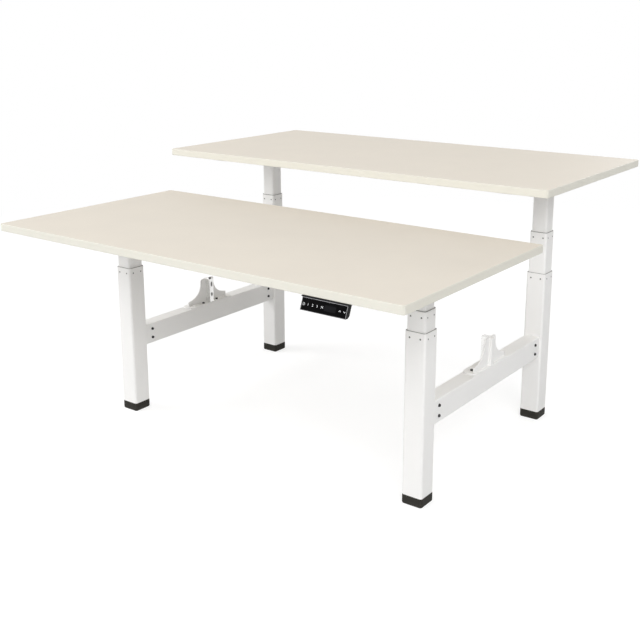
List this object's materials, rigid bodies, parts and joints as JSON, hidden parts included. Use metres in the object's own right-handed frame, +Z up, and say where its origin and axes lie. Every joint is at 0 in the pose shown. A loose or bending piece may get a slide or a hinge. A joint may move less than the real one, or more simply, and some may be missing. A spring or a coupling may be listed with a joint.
{
  "type": "benching desk",
  "caption": "Back-to-back sit-stand bench: desktops on telescopic lifting columns, tied by side crossbars with slotted centre posts.",
  "frame": {"origin": "on the floor, in the middle of the bench", "axes": "+Z up, X along the desktops, -Y towards the front user"},
  "size_m": [1.6, 1.644, 0.912],
  "materials": {
    "laminate": "cream melamine laminate, fine satin texture",
    "white_coat": "white powder coat, fine satin",
    "black_plastic": "moulded, fine matt grain",
    "guide_plastic": "moulded, smooth matt",
    "touch_panel": "gloss black",
    "steel": "turned, oiled",
    "dark_steel": "dark zinc plate"
  },
  "bodies": {
    "base_frame": {"left_crossbar": "white_coat", "left_centre_bracket": "white_coat", "left_slotted_post": "white_coat", "right_crossbar": "white_coat", "right_centre_bracket": "white_coat", "right_slotted_post": "white_coat", "front_left_outer_tube": "white_coat", "front_left_foot_cap": "black_plastic", "front_left_outer_bush": "guide_plastic", "front_left_base_screw": "steel", "front_right_outer_tube": "white_coat", "front_right_foot_cap": "black_plastic", "front_right_outer_bush": "guide_plastic", "front_right_base_screw": "steel", "rear_left_outer_tube": "white_coat", "rear_left_foot_cap": "black_plastic", "rear_left_outer_bush": "guide_plastic", "rear_left_base_screw": "steel", "rear_right_outer_tube": "white_coat", "rear_right_foot_cap": "black_plastic", "rear_right_outer_bush": "guide_plastic", "rear_right_base_screw": "steel"},
    "front_desk": {"front_desktop": "laminate", "front_beam": "white_coat", "front_user_left_arm": "white_coat", "front_user_right_arm": "white_coat", "front_control_box": "black_plastic", "front_handset_housing": "black_plastic", "front_handset_panel": "touch_panel", "front_left_inner_tube": "white_coat", "front_left_motor": "dark_steel", "front_right_inner_tube": "white_coat", "front_right_motor": "dark_steel"},
    "rear_desk": {"rear_desktop": "laminate", "rear_beam": "white_coat", "rear_user_left_arm": "white_coat", "rear_user_right_arm": "white_coat", "rear_control_box": "black_plastic", "rear_handset_housing": "black_plastic", "rear_handset_panel": "touch_panel", "rear_left_inner_tube": "white_coat", "rear_left_motor": "dark_steel", "rear_right_inner_tube": "white_coat", "rear_right_motor": "dark_steel"},
    "front_left_middle_stage": {"front_left_middle_tube": "white_coat", "front_left_middle_bush": "guide_plastic"},
    "front_left_turning_spindle": {"front_left_spindle": "steel"},
    "front_left_turning_shaft": {"front_left_drive_shaft": "steel"},
    "front_right_middle_stage": {"front_right_middle_tube": "white_coat", "front_right_middle_bush": "guide_plastic"},
    "front_right_turning_spindle": {"front_right_spindle": "steel"},
    "front_right_turning_shaft": {"front_right_drive_shaft": "steel"},
    "rear_left_middle_stage": {"rear_left_middle_tube": "white_coat", "rear_left_middle_bush": "guide_plastic"},
    "rear_left_turning_spindle": {"rear_left_spindle": "steel"},
    "rear_left_turning_shaft": {"rear_left_drive_shaft": "steel"},
    "rear_right_middle_stage": {"rear_right_middle_tube": "white_coat", "rear_right_middle_bush": "guide_plastic"},
    "rear_right_turning_spindle": {"rear_right_spindle": "steel"},
    "rear_right_turning_shaft": {"rear_right_drive_shaft": "steel"}
  },
  "joints": [
    {"name": "front_lift", "type": "slide", "parent": "base_frame", "child": "front_desk", "axis": [0, 0, 1], "range_m": [-0.127, 0.523]},
    {"name": "front_left_middle_slide", "type": "slide", "parent": "base_frame", "child": "front_left_middle_stage", "axis": [0, 0, 1], "range_m": [-0.064, 0.262]},
    {"name": "front_left_spindle_turn", "type": "hinge", "parent": "front_left_middle_stage", "child": "front_left_turning_spindle", "pos_m": [-0.612, -0.406, 0.3], "axis": [0, 0, 1], "range_deg": [-2292, 9420]},
    {"name": "front_left_shaft_turn", "type": "hinge", "parent": "front_desk", "child": "front_left_turning_shaft", "pos_m": [-0.612, -0.406, 0.4], "axis": [0, 0, 1], "range_deg": [-2292, 9420]},
    {"name": "front_right_middle_slide", "type": "slide", "parent": "base_frame", "child": "front_right_middle_stage", "axis": [0, 0, 1], "range_m": [-0.064, 0.262]},
    {"name": "front_right_spindle_turn", "type": "hinge", "parent": "front_right_middle_stage", "child": "front_right_turning_spindle", "pos_m": [0.612, -0.406, 0.3], "axis": [0, 0, 1], "range_deg": [-2292, 9420]},
    {"name": "front_right_shaft_turn", "type": "hinge", "parent": "front_desk", "child": "front_right_turning_shaft", "pos_m": [0.612, -0.406, 0.4], "axis": [0, 0, 1], "range_deg": [-2292, 9420]},
    {"name": "rear_lift", "type": "slide", "parent": "base_frame", "child": "rear_desk", "axis": [0, 0, 1], "range_m": [-0.292, 0.358]},
    {"name": "rear_left_middle_slide", "type": "slide", "parent": "base_frame", "child": "rear_left_middle_stage", "axis": [0, 0, 1], "range_m": [-0.1465, 0.1795]},
    {"name": "rear_left_spindle_turn", "type": "hinge", "parent": "rear_left_middle_stage", "child": "rear_left_turning_spindle", "pos_m": [-0.612, 0.406, 0.3], "axis": [0, 0, 1], "range_deg": [-5262, 6450]},
    {"name": "rear_left_shaft_turn", "type": "hinge", "parent": "rear_desk", "child": "rear_left_turning_shaft", "pos_m": [-0.612, 0.406, 0.4], "axis": [0, 0, 1], "range_deg": [-5262, 6450]},
    {"name": "rear_right_middle_slide", "type": "slide", "parent": "base_frame", "child": "rear_right_middle_stage", "axis": [0, 0, 1], "range_m": [-0.1465, 0.1795]},
    {"name": "rear_right_spindle_turn", "type": "hinge", "parent": "rear_right_middle_stage", "child": "rear_right_turning_spindle", "pos_m": [0.612, 0.406, 0.3], "axis": [0, 0, 1], "range_deg": [-5262, 6450]},
    {"name": "rear_right_shaft_turn", "type": "hinge", "parent": "rear_desk", "child": "rear_right_turning_shaft", "pos_m": [0.612, 0.406, 0.4], "axis": [0, 0, 1], "range_deg": [-5262, 6450]}
  ],
  "couplings": [
    {"joint": "front_left_middle_slide", "follows": "front_lift", "ratio": 0.5},
    {"joint": "front_left_spindle_turn", "follows": "front_lift", "rad_per_m": 314.16},
    {"joint": "front_left_shaft_turn", "follows": "front_lift", "rad_per_m": 314.16},
    {"joint": "front_right_middle_slide", "follows": "front_lift", "ratio": 0.5},
    {"joint": "front_right_spindle_turn", "follows": "front_lift", "rad_per_m": 314.16},
    {"joint": "front_right_shaft_turn", "follows": "front_lift", "rad_per_m": 314.16},
    {"joint": "rear_left_middle_slide", "follows": "rear_lift", "ratio": 0.5},
    {"joint": "rear_left_spindle_turn", "follows": "rear_lift", "rad_per_m": 314.16},
    {"joint": "rear_left_shaft_turn", "follows": "rear_lift", "rad_per_m": 314.16},
    {"joint": "rear_right_middle_slide", "follows": "rear_lift", "ratio": 0.5},
    {"joint": "rear_right_spindle_turn", "follows": "rear_lift", "rad_per_m": 314.16},
    {"joint": "rear_right_shaft_turn", "follows": "rear_lift", "rad_per_m": 314.16}
  ]
}
